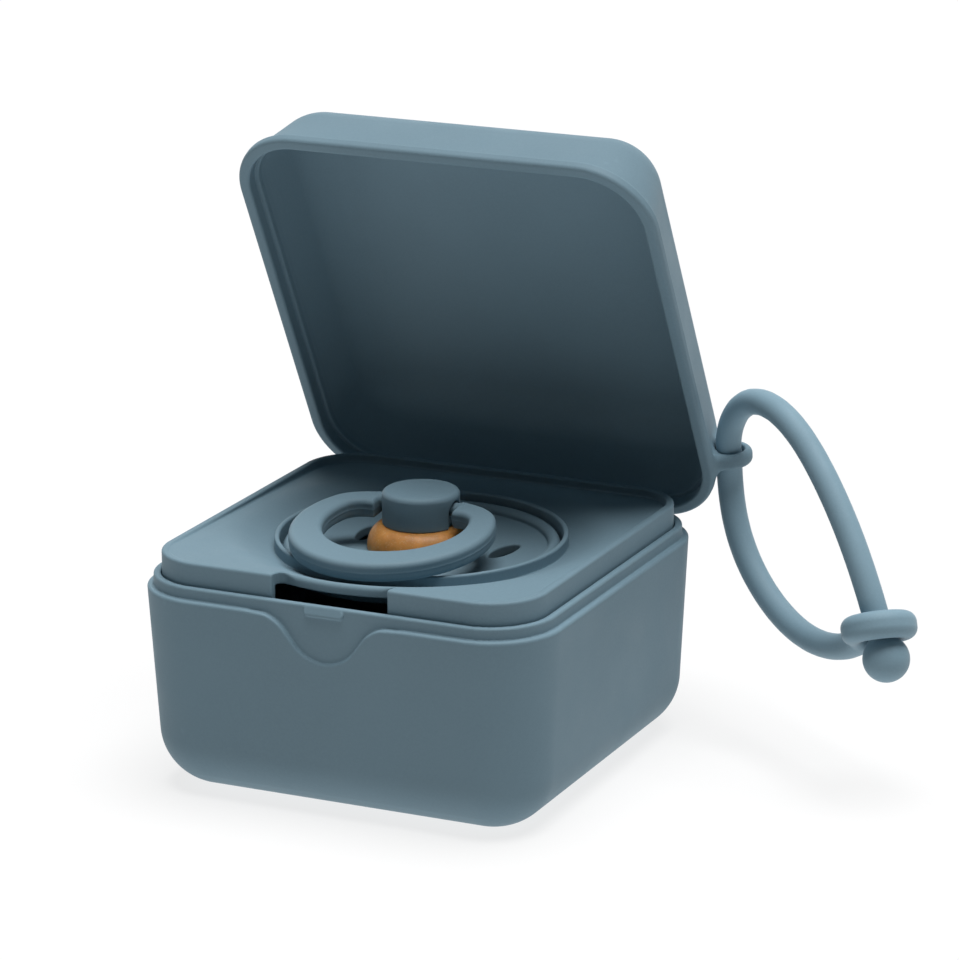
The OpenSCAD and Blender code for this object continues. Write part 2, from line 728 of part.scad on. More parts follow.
base_case();
insert_tray();
lid();
hinge_pin();
pacifier_shield();
pacifier_nipple();
pacifier_plug();
pacifier_knob();
pacifier_ring();
strap_upper();
strap_lower();
strap_eyelet();
strap_ball();
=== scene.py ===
"""A pacifier sterilizer case, standing open on a pale floor.

Moulded pieces are described as signed distances: a form gives, for any point, how far it
lies outside the piece, in millimetres, and is negative inside. skin() turns a form into a
mesh. The scene itself is in metres.
"""

import math

import bpy
import numpy as np
from mathutils import Matrix, Vector


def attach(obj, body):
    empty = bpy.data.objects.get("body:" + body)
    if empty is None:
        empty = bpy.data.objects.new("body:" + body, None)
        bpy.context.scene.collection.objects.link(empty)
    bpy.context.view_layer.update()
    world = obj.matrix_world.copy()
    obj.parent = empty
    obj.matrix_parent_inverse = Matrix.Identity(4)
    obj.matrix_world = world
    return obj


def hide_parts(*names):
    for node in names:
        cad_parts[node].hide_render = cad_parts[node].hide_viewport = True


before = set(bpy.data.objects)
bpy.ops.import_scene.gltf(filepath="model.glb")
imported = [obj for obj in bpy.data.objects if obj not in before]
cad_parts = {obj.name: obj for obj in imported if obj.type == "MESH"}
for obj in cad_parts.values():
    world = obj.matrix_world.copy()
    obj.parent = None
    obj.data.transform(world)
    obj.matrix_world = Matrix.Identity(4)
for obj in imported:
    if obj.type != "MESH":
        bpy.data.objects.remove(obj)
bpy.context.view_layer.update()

MM = 0.001

# ---- sizes, in millimetres, close to those in the part's own source ----

CASE_HALF = 35.0
CORNER_R = 11.5
SHOULDER_Z = 32.9
BOTTOM_R = 9.0
WALL_LEAN = 1.9
BASE_WALL = 1.7
FLOOR_T = 1.8
COLLAR_STEP, COLLAR_H = 1.05, 1.9
COLLAR_TOP = SHOULDER_Z + COLLAR_H
COLLAR_HALF = CASE_HALF - COLLAR_STEP
RECESS_HALF, RECESS_DROP, RECESS_R = 11.75, 7.1, 6.4
RECESS_STEEP = (math.atan2(RECESS_DROP - 2 * RECESS_R, RECESS_HALF)
                + math.asin(2 * RECESS_R / math.hypot(RECESS_HALF, RECESS_DROP - 2 * RECESS_R)))
NUB_W, NUB_H, NUB_OUT = 6.8, 1.7, 0.5
NUB_Z = COLLAR_TOP - NUB_H / 2 - 0.02
RIB_T, RIB_AT, RIB_IN = 1.2, 19.0, 2.6

INSERT_STEP = 2.4
INSERT_HALF = CASE_HALF - INSERT_STEP
INSERT_GAP = 0.15
INSERT_TOP = 38.4
INSERT_BOTTOM = 27.0
INSERT_WALL = 1.4
RIM_W = 1.25
DECK_DROP = 1.5
WELL_R, WELL_WALL = 23.3, 0.8
WELL_IN_R = WELL_R - WELL_WALL
WELL_TOP = 37.05
DISH_FOOT = 35.0
DISH_R = 31.6
DISH_COS = 0.93  # close to the cosine of the dish's slope
NOTCH_R, NOTCH_W, NOTCH_X, NOTCH_CORNER = 30.4, 19.7, 0.25, 1.2
LEDGE_T, LEDGE_LAP = 1.4, 0.5

LID_GAP = 0.1
LID_Z = SHOULDER_Z + LID_GAP
LID_OVERHANG = 1.0
LID_HALF_X = CASE_HALF + LID_OVERHANG
LID_DEPTH = 16.7
LID_LEAN = 4.7
LID_COS = 0.963  # cosine of the lid wall's lean
LID_EDGE_R = 6.5
LID_WALL = 1.4
LID_OPEN = 63.0
BEAD_W, BEAD_OUT, BEAD_H = 1.7, 0.3, 1.8
MOUTH_STEP_W, MOUTH_STEP_H = 0.35, 2.1

HINGE_BACK, HINGE_DROP = 1.45, 1.15
HINGE_Y = CASE_HALF + HINGE_BACK
HINGE_Z = SHOULDER_Z - HINGE_DROP
KNUCKLE_R = 1.9
PIN_R, PIN_FIT_BASE, PIN_FIT_LID = 0.9, 0.02, 0.06
LID_KNUCKLE_L = 22.0
BASE_KNUCKLE_L = 6.0
KNUCKLE_GAP = 0.3
LID_HINGE_STEP = 0.15
LID_HALF_Y = HINGE_Y - LID_HINGE_STEP

SHIELD_TOP = 36.0
SHIELD_BEAD_R = 0.95
SHIELD_GAP, SHIELD_LIFT, SHIELD_SINK = 0.55, 0.15, 0.55
SHIELD_BEAD_AT = WELL_IN_R - SHIELD_GAP - SHIELD_BEAD_R
SHIELD_LOW = SHIELD_TOP - SHIELD_BEAD_R - SHIELD_SINK
SHIELD_T, SHIELD_RISE, SHIELD_CUP = 1.9, 0.15, 1.5
VENT_L, VENT_W, VENT_AT = 8.0, 3.1, 12.1
VENT_X, VENT_Y, VENT_TURN = 0.6, 3.7, 7.3
LEDGE_R = SHIELD_BEAD_AT - LEDGE_LAP
LEDGE_TOP = SHIELD_TOP - 2 * SHIELD_BEAD_R - SHIELD_LIFT
KNOB_R, KNOB_TOP, KNOB_BOTTOM = 6.2, 44.2, 38.7
SLOT_W, SLOT_DEEP = 3.8, 1.3
FLANGE_R, FLANGE_EDGE_H, NECK_R, BULB_R = 8.65, 0.5, 6.6, 8.2
NIPPLE_BOTTOM, NIPPLE_WALL = 7.5, 1.6
PIVOT_Z, PIVOT_R = 41.5, 1.1
RING_R, RING_Y, RING_HOLE_R, RING_HOLE_Y = 16.25, -10.4, 11.5, -9.15
RING_T, RING_EDGE_R, RING_TILT, RING_DROP = 3.2, 0.9, 7.1, 0.45
RING_GAP_HALF, ARM_FRONT, ARM_BACK = 6.65, -3.2, 1.4

LUG_R, LUG_T, LUG_HOLE_R, LUG_SLANT = 3.7, 2.6, 2.4, 19.0
LUG_AT = (37.2, LID_HALF_Y - 10.2, LID_Z + 5.25)
STRAP_D = 4.2
EYELET_R, EYELET_T, EYELET_W = 4.15, 4.4, 3.6
BALL_D = 7.4

UPPER_ROUTE = [
    (37.10, 37.60, 42.90), (37.19, 37.16, 46.90), (38.38, 36.47, 50.66),
    (40.80, 34.96, 53.46), (43.88, 32.80, 54.85), (47.14, 30.45, 55.05),
    (50.35, 28.15, 54.29), (53.40, 26.01, 52.76), (56.23, 24.03, 50.68),
    (58.85, 22.19, 48.23), (61.31, 20.43, 45.56), (63.63, 18.75, 42.73),
    (65.81, 17.16, 39.73), (67.83, 15.71, 36.56), (69.70, 14.40, 33.23),
    (71.43, 13.21, 29.79), (73.02, 12.06, 26.27), (74.50, 10.90, 22.70)]
LOWER_ROUTE = [
    (37.10, 37.60, 42.90), (37.20, 37.88, 39.31), (37.85, 37.36, 35.80),
    (39.00, 36.39, 32.52), (40.60, 35.17, 29.52), (42.59, 33.76, 26.85),
    (44.89, 32.17, 24.57), (47.43, 30.40, 22.69), (50.13, 28.48, 21.26),
    (52.95, 26.44, 20.27), (55.84, 24.34, 19.74), (58.77, 22.23, 19.69),
    (61.70, 20.15, 20.13), (64.54, 18.13, 21.08), (67.19, 16.13, 22.51),
    (69.50, 14.10, 24.40)]
EYELET_AT = (72.67, 12.34, 27.03)
EYELET_AXIS = (-0.276, 0.358, 0.891)
BALL_AT = (74.5, 10.85, 22.7)

# ---- camera, at the photograph's viewing angle ----

VIEW_AZIMUTH, VIEW_ELEVATION, VIEW_ROLL = 25.562, 16.824, -0.612
VIEW_TARGET = (19.586, -19.450, 53.403)
VIEW_DISTANCE = 707.5
LENS = 174.53


def make_camera():
    azimuth, elevation, roll = (math.radians(a) for a in (VIEW_AZIMUTH, VIEW_ELEVATION, VIEW_ROLL))
    back = Vector((math.sin(azimuth) * math.cos(elevation),
                   -math.cos(azimuth) * math.cos(elevation), math.sin(elevation)))
    level = Vector((math.cos(azimuth), math.sin(azimuth), 0))
    upright = level.cross(-back)
    right = level * math.cos(roll) + upright * math.sin(roll)
    up = back.cross(right)
    data = bpy.data.cameras.new("camera")
    data.lens = LENS
    data.sensor_width = 36
    data.sensor_fit = "AUTO"
    data.clip_start = 0.01
    data.clip_end = 50
    camera = bpy.data.objects.new("camera", data)
    turn = Matrix((right, up, back)).transposed().to_4x4()
    place = (Vector(VIEW_TARGET) + back * VIEW_DISTANCE) * MM
    camera.matrix_world = Matrix.Translation(place) @ turn
    bpy.context.scene.collection.objects.link(camera)
    bpy.context.scene.camera = camera


make_camera()

# ---- strap runs ----


def strap_run(name, route):
    """Round silicone cord through the route's points."""
    data = bpy.data.curves.new(name, "CURVE")
    data.dimensions = "3D"
    data.bevel_depth = STRAP_D / 2 * MM
    data.bevel_resolution = 10
    data.resolution_u = 10
    data.use_fill_caps = True
    spline = data.splines.new("BEZIER")
    spline.bezier_points.add(len(route) - 1)
    for point, place in zip(spline.bezier_points, route):
        point.co = Vector(place) * MM
        point.handle_left_type = point.handle_right_type = "AUTO"
    piece = bpy.data.objects.new(name, data)
    bpy.context.scene.collection.objects.link(piece)
    return piece


upper_run = strap_run("strap_upper_run", UPPER_ROUTE)
lower_run = strap_run("strap_lower_run", LOWER_ROUTE)

# ---- distance forms ----


def both(a, b, r=0.0):
    """Inside a and b, with the edge where they meet rounded to radius r, which may vary."""
    if np.ndim(r) == 0 and r == 0:
        return np.maximum(a, b)
    return np.minimum(np.maximum(a, b), -r) + np.hypot(np.maximum(a + r, 0), np.maximum(b + r, 0))


def either(a, b, r=0.0):
    """Inside a or b, with a fillet of radius r where they meet."""
    return -both(-a, -b, r)


def without(a, b, r=0.0):
    """Inside a and outside b, with the cut's edge rounded to radius r."""
    return both(a, -b, r)


def blended(a, b, k):
    """The lower of a and b, run together over the stretch where they differ by less than k."""
    return np.minimum(a, b) - np.maximum(k - np.abs(a - b), 0) ** 2 / (4 * k)


def soft_square(x, y, half_x, half_y, r):
    """Distance from a rectangle with round corners."""
    qx = np.abs(x) - (half_x - r)
    qy = np.abs(y) - (half_y - r)
    return np.hypot(np.maximum(qx, 0), np.maximum(qy, 0)) + np.minimum(np.maximum(qx, qy), 0) - r


def prism(u, v, corners, r=0.2):
    """Distance from a convex outline, its corners in either order, edges rounded to r."""
    corners = np.array(corners, float)
    following = np.roll(corners, -1, axis=0)
    area = np.sum(corners[:, 0] * following[:, 1] - following[:, 0] * corners[:, 1])
    inside = None
    for (au, av), (bu, bv) in zip(corners, following):
        length = math.hypot(bu - au, bv - av)
        side = ((u - au) * (bv - av) - (v - av) * (bu - au)) / length * math.copysign(1, area)
        inside = side if inside is None else both(inside, side, r)
    return inside


def capsule(x, y, z, start, end, r):
    """Distance from a rod with round ends."""
    start, end = np.array(start, float), np.array(end, float)
    line = end - start
    along = (x - start[0]) * line[0] + (y - start[1]) * line[1] + (z - start[2]) * line[2]
    t = np.clip(along / (line @ line), 0, 1)
    return np.sqrt((x - start[0] - t * line[0]) ** 2 + (y - start[1] - t * line[1]) ** 2
                   + (z - start[2] - t * line[2]) ** 2) - r


# ---- mesher ----

BLOCK = 8
BLOCKS_AT_ONCE = 1200
SLACK = 1.3  # how much steeper than a true distance a form may be
CORNERS = [(i, j, k) for i in (0, 1) for j in (0, 1) for k in (0, 1)]
CELL_EDGES = [(a, b) for a in range(8) for b in range(a + 1, 8)
              if sum(abs(p - q) for p, q in zip(CORNERS[a], CORNERS[b])) == 1]
TETRAHEDRON = np.array([(1, -1, -1), (-1, -1, 1), (-1, 1, -1), (1, 1, 1)], float)


def slope_and_value(form, points, reach=0.01):
    """Gradient and value of the form at the points."""
    slope = np.zeros_like(points)
    value = np.zeros(len(points))
    for corner in TETRAHEDRON:
        probe = points + corner * reach
        distance = form(probe[:, 0], probe[:, 1], probe[:, 2])
        slope += distance[:, None] * corner
        value += distance
    return slope / (4 * reach), value / 4


def settled(form, points, rounds, most):
    """The points moved onto the surface, none further than most in a round."""
    for _ in range(rounds):
        slope, value = slope_and_value(form, points)
        step = slope * (value / np.maximum((slope ** 2).sum(1), 1e-6))[:, None]
        length = np.linalg.norm(step, axis=1)
        step *= np.minimum(1, most / np.maximum(length, 1e-9))[:, None]
        points = points - step
    return points


def surface_net(form, low, high, step):
    """Vertices and quads of the form's surface on a grid of that step."""
    low = np.array(low, float)
    blocks = np.ceil((np.array(high, float) - low) / (step * BLOCK)).astype(int)
    size = blocks * BLOCK + 1
    index = np.stack(np.meshgrid(*(np.arange(n) for n in blocks), indexing="ij"), -1).reshape(-1, 3)
    centre = low + (index + 0.5) * BLOCK * step
    reach = SLACK * math.sqrt(3) / 2 * BLOCK * step
    near = np.abs(form(centre[:, 0], centre[:, 1], centre[:, 2])) < reach
    index = index[near] * BLOCK
    ticks = np.arange(BLOCK + 1)
    cell_ids, places, quads = [], [], []

    def cell_id(cell):
        return (cell[..., 0] * size[1] + cell[..., 1]) * size[2] + cell[..., 2]

    for first in range(0, len(index), BLOCKS_AT_ONCE):
        origin = index[first:first + BLOCKS_AT_ONCE]
        gx, gy, gz = (origin[:, axis, None] + ticks for axis in range(3))
        shape = (len(origin),) + (BLOCK + 1,) * 3
        x = np.broadcast_to((low[0] + gx * step)[:, :, None, None], shape)
        y = np.broadcast_to((low[1] + gy * step)[:, None, :, None], shape)
        z = np.broadcast_to((low[2] + gz * step)[:, None, None, :], shape)
        value = form(x.ravel(), y.ravel(), z.ravel()).reshape(shape)
        inside = value < 0
        corners = [inside[:, i:BLOCK + i, j:BLOCK + j, k:BLOCK + k] for i, j, k in CORNERS]
        count = np.sum(corners, axis=0, dtype=np.int8)
        b, i, j, k = np.nonzero((count > 0) & (count < 8))
        sample = np.stack([value[b, i + p, j + q, k + r] for p, q, r in CORNERS], -1)
        place = np.zeros((len(b), 3))
        crossings = np.zeros(len(b))
        for start, end in CELL_EDGES:
            va, vb = sample[:, start], sample[:, end]
            crossed = (va < 0) != (vb < 0)
            t = np.where(crossed, va / np.where(crossed, va - vb, 1), 0)
            a_at, b_at = np.array(CORNERS[start], float), np.array(CORNERS[end], float)
            place += np.where(crossed[:, None], a_at + t[:, None] * (b_at - a_at), 0)
            crossings += crossed
        cell = origin[b] + np.stack([i, j, k], -1)
        cell_ids.append(cell_id(cell))
        places.append(low + (cell + place / crossings[:, None]) * step)
        for axis in range(3):
            ahead = [slice(0, BLOCK)] * 3
            ahead[axis] = slice(1, BLOCK + 1)
            here = inside[:, :BLOCK, :BLOCK, :BLOCK]
            there = inside[(slice(None), *ahead)]
            b, i, j, k = np.nonzero(here != there)
            start = origin[b] + np.stack([i, j, k], -1)
            u, v = np.zeros(3, int), np.zeros(3, int)
            u[(axis + 1) % 3] = 1
            v[(axis + 2) % 3] = 1
            ring = np.stack([cell_id(start - u - v), cell_id(start - v), cell_id(start),
                             cell_id(start - u)], -1)
            inward = ~here[b, i, j, k]
            ring[inward] = ring[inward][:, ::-1]
            quads.append(ring)
    cell_ids = np.concatenate(cell_ids)
    order = np.argsort(cell_ids)
    quads = np.concatenate(quads)
    found = np.searchsorted(cell_ids[order], quads).clip(0, len(order) - 1)
    whole = (cell_ids[order][found] == quads).all(1)
    return np.concatenate(places)[order], found[whole]


def mesh_object(name, points, faces):
    data = bpy.data.meshes.new(name)
    data.vertices.add(len(points))
    data.vertices.foreach_set("co", points.astype(np.float32).ravel())
    data.loops.add(faces.size)
    data.loops.foreach_set("vertex_index", faces.astype(np.int32).ravel())
    data.polygons.add(len(faces))
    starts = np.arange(0, faces.size, faces.shape[1], dtype=np.int32)
    data.polygons.foreach_set("loop_start", starts)
    data.update(calc_edges=True)
    piece = bpy.data.objects.new(name, data)
    bpy.context.scene.collection.objects.link(piece)
    return piece


def vertex_places(data):
    co = np.zeros(len(data.vertices) * 3, np.float32)
    data.vertices.foreach_get("co", co)
    return co.reshape(-1, 3).astype(float)


def thinned(piece, share):
    """The piece's mesh with that share of its triangles, kept where the surface bends."""
    modifier = piece.modifiers.new("thin", "DECIMATE")
    modifier.ratio = share
    graph = bpy.context.evaluated_depsgraph_get()
    data = bpy.data.meshes.new_from_object(piece.evaluated_get(graph))
    piece.modifiers.clear()
    old = piece.data
    piece.data = data
    bpy.data.meshes.remove(old)
    data.name = piece.name


def skin(name, form, low, high, step, share=0.3, place=None):
    """Mesh of the form inside the box from low to high, smooth shaded by the form's own slope.
    place turns the finished mesh from where the form is drawn to where it stands."""
    pitch = step * 1
    margin = 2 * pitch
    points, quads = surface_net(form, np.array(low) - margin, np.array(high) + margin, pitch)
    points = settled(form, points, 3, step)
    piece = mesh_object(name, points, quads)
    if share < 1:
        thinned(piece, share)
    points = settled(form, vertex_places(piece.data), 1, step / 4)
    slope, _ = slope_and_value(form, points)
    slope /= np.maximum(np.linalg.norm(slope, axis=1), 1e-9)[:, None]
    if place is not None:
        turn = np.array(place, float)
        points = points @ turn[:3, :3].T + turn[:3, 3]
        slope = slope @ turn[:3, :3].T
    piece.data.vertices.foreach_set("co", (points * MM).astype(np.float32).ravel())
    piece.data.polygons.foreach_set("use_smooth", np.ones(len(piece.data.polygons), bool))
    piece.data.update()
    piece.data.normals_split_custom_set_from_vertices(slope)
    return piece


# ---- base ----


def wall_in(z):
    """Lean of the base's wall at height z, in from the shoulder."""
    return WALL_LEAN * (1 - z / SHOULDER_Z)


def thumb_recess(x, y, z):
    """Dip in the front of the outer skin, down to the collar's face: on each side a slope
    runs tangentially from the round bottom into a round shoulder."""
    a = np.abs(x)
    reach = RECESS_R * math.sin(RECESS_STEEP)
    low = np.minimum(a, reach)
    high = np.clip(RECESS_HALF - a, 0, reach)
    slope = np.clip(a, reach, RECESS_HALF - reach) - reach
    bell = (SHOULDER_Z - RECESS_DROP + RECESS_R - np.sqrt(RECESS_R ** 2 - low ** 2)
            + slope * math.tan(RECESS_STEEP)
            + np.sqrt(RECESS_R ** 2 - high ** 2) - RECESS_R * math.cos(RECESS_STEEP))
    flare = 0.12 * np.maximum(a - RECESS_HALF, 0) ** 2
    cosine = np.sqrt(1 - (np.minimum(low, high) / RECESS_R) ** 2)
    return both((bell + flare - z) * cosine, y + COLLAR_HALF, 0.25)


def catch_nub(x, y, z):
    """Pill-shaped catch on the collar's face, leaning back towards its top."""
    pill = np.hypot(np.maximum(np.abs(x) - (NUB_W - NUB_H) / 2, 0), z - NUB_Z) - NUB_H / 2
    out = NUB_OUT - 0.45 * np.clip(z - NUB_Z + 0.3, 0, 1)
    return both(both(pill, -0.91 * (y + COLLAR_HALF + out), 0.3), y + COLLAR_HALF - 0.5)


def seat_ribs(x, y, z):
    """Ribs inside the four walls, two to a wall, that the insert stands on."""
    reach = INSERT_HALF - RIB_IN
    root = CASE_HALF - wall_in(INSERT_BOTTOM / 2) - BASE_WALL + 0.5
    foot = BOTTOM_R * 0.8
    outline = [(reach, INSERT_BOTTOM), (root, INSERT_BOTTOM), (root, foot),
               (reach + RIB_IN * 0.6, foot)]
    ribs = [both(prism(u, z, outline), np.abs(v - RIB_AT) - RIB_T / 2, 0.2)
            for u, v in ((np.abs(x), np.abs(y)), (np.abs(y), np.abs(x)))]
    return either(*ribs)


def base_knuckles(x, y, z):
    """The two outer hinge knuckles with the webs that carry them."""
    middle = np.abs(np.abs(x) - (LID_KNUCKLE_L + BASE_KNUCKLE_L) / 2 - KNUCKLE_GAP)
    along = middle - BASE_KNUCKLE_L / 2
    root = CASE_HALF - wall_in(HINGE_Z) - 0.8
    web = prism(y, z, [(root, SHOULDER_Z - 0.2), (root, HINGE_Z - 5),
                       (HINGE_Y + 0.76 * KNUCKLE_R, HINGE_Z - 0.64 * KNUCKLE_R),
                       (HINGE_Y, SHOULDER_Z - 0.2)])
    return both(either(np.hypot(y - HINGE_Y, z - HINGE_Z) - KNUCKLE_R, web), along, 0.3)


def hinge_bore(x, y, z, r, half):
    return both(np.hypot(y - HINGE_Y, z - HINGE_Z) - r, np.abs(x) - half)


def base_form(x, y, z):
    outline = soft_square(x, y, CASE_HALF, CASE_HALF, CORNER_R)
    body = both(outline + wall_in(z), -z, BOTTOM_R)
    body = both(body, z - SHOULDER_Z, 0.5)
    body = without(body, thumb_recess(x, y, z), 0.4)
    collar = both(both(outline + COLLAR_STEP, z - COLLAR_TOP, 0.35), BOTTOM_R * 2 - z)
    body = either(body, collar, 0.12)
    seat = INSERT_STEP - INSERT_GAP
    inset = np.interp(z, [0, INSERT_BOTTOM - 2, INSERT_BOTTOM],
                      [wall_in(0) + BASE_WALL, wall_in(INSERT_BOTTOM - 2) + BASE_WALL, seat])
    body = without(body, both(outline + inset, FLOOR_T - z, BOTTOM_R - BASE_WALL), 0.3)
    body = either(body, catch_nub(x, y, z), 0.12)
    body = either(body, both(seat_ribs(x, y, z), outline + 1), 0.4)
    body = either(body, base_knuckles(x, y, z), 0.5)
    gap = LID_KNUCKLE_L / 2 + KNUCKLE_GAP
    body = without(body, hinge_bore(x, y, z, KNUCKLE_R + KNUCKLE_GAP, gap), 0.2)
    return without(body, hinge_bore(x, y, z, PIN_R + PIN_FIT_BASE, CASE_HALF), 0.1)


# ---- insert ----


def insert_form(x, y, z):
    r = np.hypot(x, y)
    outline = soft_square(x, y, INSERT_HALF, INSERT_HALF, CORNER_R - INSERT_STEP)
    across = np.abs(x - NOTCH_X)
    notch = both(across - NOTCH_W / 2, np.maximum(NOTCH_R - r, y), NOTCH_CORNER)
    deck = INSERT_TOP - DECK_DROP * (y + INSERT_HALF) / (2 * INSERT_HALF)
    dish = DISH_FOOT + (INSERT_TOP - DISH_FOOT) / (DISH_R - WELL_R) * (r - WELL_R)
    top = blended(deck, dish, 1.0)
    nose = 0.25 + 0.75 * np.clip((NOTCH_W / 2 - 0.5 - across) / 2, 0, 1)
    plate = without(DISH_COS * (z - top), notch, nose)
    under = top - INSERT_WALL - 0.07 * np.clip(r - WELL_R, 0, 8)
    plate = both(both(plate, DISH_COS * (under - z), 0.15), outline + RIM_W / 2)
    wall = both(both(outline, z - INSERT_TOP, 0.4), -outline - RIM_W, 0.3)
    wall = without(wall, both(notch, COLLAR_TOP - 1.6 - z, 0.2), 0.25)
    body = either(plate, wall, np.clip(0.8 * (INSERT_TOP - top), 0.02, 0.35))
    body = without(body, r - WELL_IN_R - 0.5)
    collar = both(both(r - WELL_R, WELL_IN_R - r, 0.3), z - WELL_TOP, 0.3)
    body = either(body, both(collar, LEDGE_TOP - LEDGE_T - z), 0.2)
    ledge = both(both(r - WELL_IN_R - 0.4, LEDGE_R - r),
                 np.abs(z - LEDGE_TOP + LEDGE_T / 2) - LEDGE_T / 2, 0.3)
    body = either(body, ledge, 0.2)
    return both(body, INSERT_BOTTOM - z, 0.2)


# ---- lid, drawn closed ----


def lid_in(w):
    """Lean of the lid's wall at height w above its rim."""
    return LID_LEAN * w / LID_DEPTH


def lid_lug(x, y, z):
    """Round eye for the strap, gusseted where it joins the wall, and the bore through it."""
    slant = math.radians(90 - LUG_SLANT)
    u = x - LUG_AT[0]
    dy, dz = y - LUG_AT[1], z - LUG_AT[2]
    v = dy * math.cos(slant) + dz * math.sin(slant)
    t = -dy * math.sin(slant) + dz * math.cos(slant)
    eye = both(np.hypot(u, v) - LUG_R, np.abs(t) - LUG_T / 2, 1.0)
    spread = np.clip(-u - LUG_HOLE_R * 0.6, 0, 4)
    stem = both(np.abs(v) - LUG_R * 0.88 - 0.25 * spread, np.abs(t) - LUG_T / 2 - 0.3 * spread, 1.0)
    stem = both(stem, np.maximum(u + LUG_HOLE_R * 0.6, LID_HALF_X - 3 - x))
    return blended(eye, stem, 0.6), np.hypot(u, v) - LUG_HOLE_R


def lid_form(x, y, z):
    w = z - LID_Z
    outline = soft_square(x, y, LID_HALF_X, LID_HALF_Y, CORNER_R)
    wall = LID_COS * (outline + lid_in(w))
    body = both(wall, w - LID_DEPTH, LID_EDGE_R)
    bead = both(np.abs(outline - (BEAD_OUT - BEAD_W) / 2) - (BEAD_OUT + BEAD_W) / 2,
                np.abs(w - BEAD_H / 2) - BEAD_H / 2, 0.55)
    body = either(both(body, -w, 0.3), bead, 0.4)
    lug, bore = lid_lug(x, y, z)
    body = blended(body, lug, 2.2)
    web_y = LID_HALF_Y - BEAD_W + 0.3
    web = prism(y, z, [(web_y, LID_Z + 0.05), (HINGE_Y + KNUCKLE_R, HINGE_Z),
                       (HINGE_Y + KNUCKLE_R - 0.2, HINGE_Z + 1.4),
                       (LID_HALF_Y - lid_in(8) - 0.3, LID_Z + 8)])
    knuckle = either(np.hypot(y - HINGE_Y, z - HINGE_Z) - KNUCKLE_R, web, 0.2)
    body = either(body, both(knuckle, np.abs(x) - LID_KNUCKLE_L / 2, 0.3), 0.5)
    step = lid_in(MOUTH_STEP_H) + LID_WALL + MOUTH_STEP_W
    step_end = MOUTH_STEP_H + 2
    inset = np.where(w < step_end, np.interp(w, [MOUTH_STEP_H + 1, step_end],
                                             [step, lid_in(step_end) + LID_WALL]),
                     lid_in(w) + LID_WALL)
    hollow = both(LID_COS * (outline + inset), w - LID_DEPTH + LID_WALL, LID_EDGE_R - LID_WALL)
    mouth = both(outline + BEAD_W, w - MOUTH_STEP_H + 0.05, 0.15)
    body = without(body, either(hollow, mouth, 0.25), 0.35)
    for side in (-1, 1):
        gap = both(np.hypot(y - HINGE_Y, z - HINGE_Z) - KNUCKLE_R - KNUCKLE_GAP,
                   np.abs(side * x - (LID_KNUCKLE_L + BASE_KNUCKLE_L) / 2 - KNUCKLE_GAP)
                   - BASE_KNUCKLE_L / 2 - KNUCKLE_GAP)
        body = without(body, gap, 0.2)
    body = without(body, hinge_bore(x, y, z, PIN_R + PIN_FIT_LID, CASE_HALF), 0.1)
    return without(body, bore, 0.45)


# ---- pacifier ----


def shield_form(x, y, z):
    r = np.hypot(x, y)
    out = (r - NECK_R) / (SHIELD_BEAD_AT - NECK_R)
    top = SHIELD_LOW + SHIELD_RISE * out ** 2
    under = SHIELD_LOW - SHIELD_T + SHIELD_CUP * np.maximum(out, 0) ** 3
    plate = both(np.maximum(z - top, under - z), r - SHIELD_BEAD_AT)
    plate = both(plate, NECK_R + 0.1 - r, 0.2)
    bead = np.hypot(r - SHIELD_BEAD_AT, z - SHIELD_TOP + SHIELD_BEAD_R) - SHIELD_BEAD_R
    body = either(plate, bead, 0.15)
    for side in (-1, 1):
        turn = side * math.radians(VENT_TURN)
        dx, dy = x - VENT_X - side * VENT_AT, y - VENT_Y
        across = dx * math.cos(turn) - dy * math.sin(turn)
        along = dx * math.sin(turn) + dy * math.cos(turn)
        vent = (np.hypot(across / VENT_W, along / VENT_L) - 0.5) * VENT_W
        body = without(body, vent, 0.3)
    return body


def nipple_form(x, y, z):
    r = np.hypot(x, y)
    seat = SHIELD_LOW + 0.05
    lip_r = KNOB_R - 0.35
    dome_h = KNOB_BOTTOM - seat - FLANGE_EDGE_H
    dome = np.hypot(np.maximum(r - lip_r, 0) / (FLANGE_R - lip_r),
                    np.maximum(z - seat - FLANGE_EDGE_H, 0) / dome_h) - 1
    flange = both(both(dome * 3, seat - z, 0.3), r - FLANGE_R)
    neck_end = NIPPLE_BOTTOM + 2 * BULB_R
    neck_r = np.interp(z, [neck_end, SHIELD_LOW - SHIELD_T - 4, SHIELD_LOW - SHIELD_T - 1],
                       [NECK_R - 1.6, NECK_R - 1.2, NECK_R])
    neck = both(r - neck_r, np.maximum(NIPPLE_BOTTOM + BULB_R - z, z - seat - 1))
    bulb = np.sqrt(r ** 2 + (z - NIPPLE_BOTTOM - BULB_R) ** 2) - BULB_R
    stem = blended(neck, bulb, 2.5)
    stem = both(stem, -NIPPLE_WALL - stem)
    body = either(flange, both(stem, z - seat - FLANGE_EDGE_H), 0.2)
    return without(body, both(r - NECK_R + NIPPLE_WALL - 0.05, SHIELD_LOW - SHIELD_T - 2 - z))


def knob_form(x, y, z):
    r = np.hypot(x, y)
    top = KNOB_TOP - 0.38 * np.maximum(1 - (r / (KNOB_R - 0.9)) ** 2, 0)
    body = both(r - KNOB_R, z - top, 0.9)
    body = both(body, KNOB_BOTTOM - z, 0.25)
    above = np.maximum(z - PIVOT_Z + RING_DROP, 0)
    arch = np.hypot(y, above) - SLOT_W / 2
    slot = both(arch, KNOB_R - SLOT_DEEP - np.abs(x), 0.2)
    body = without(body, slot, 0.3)
    bearing = both(np.hypot(y, z - PIVOT_Z) - PIVOT_R - 0.05, KNOB_R - 3.2 - np.abs(x))
    return without(body, bearing, 0.1)


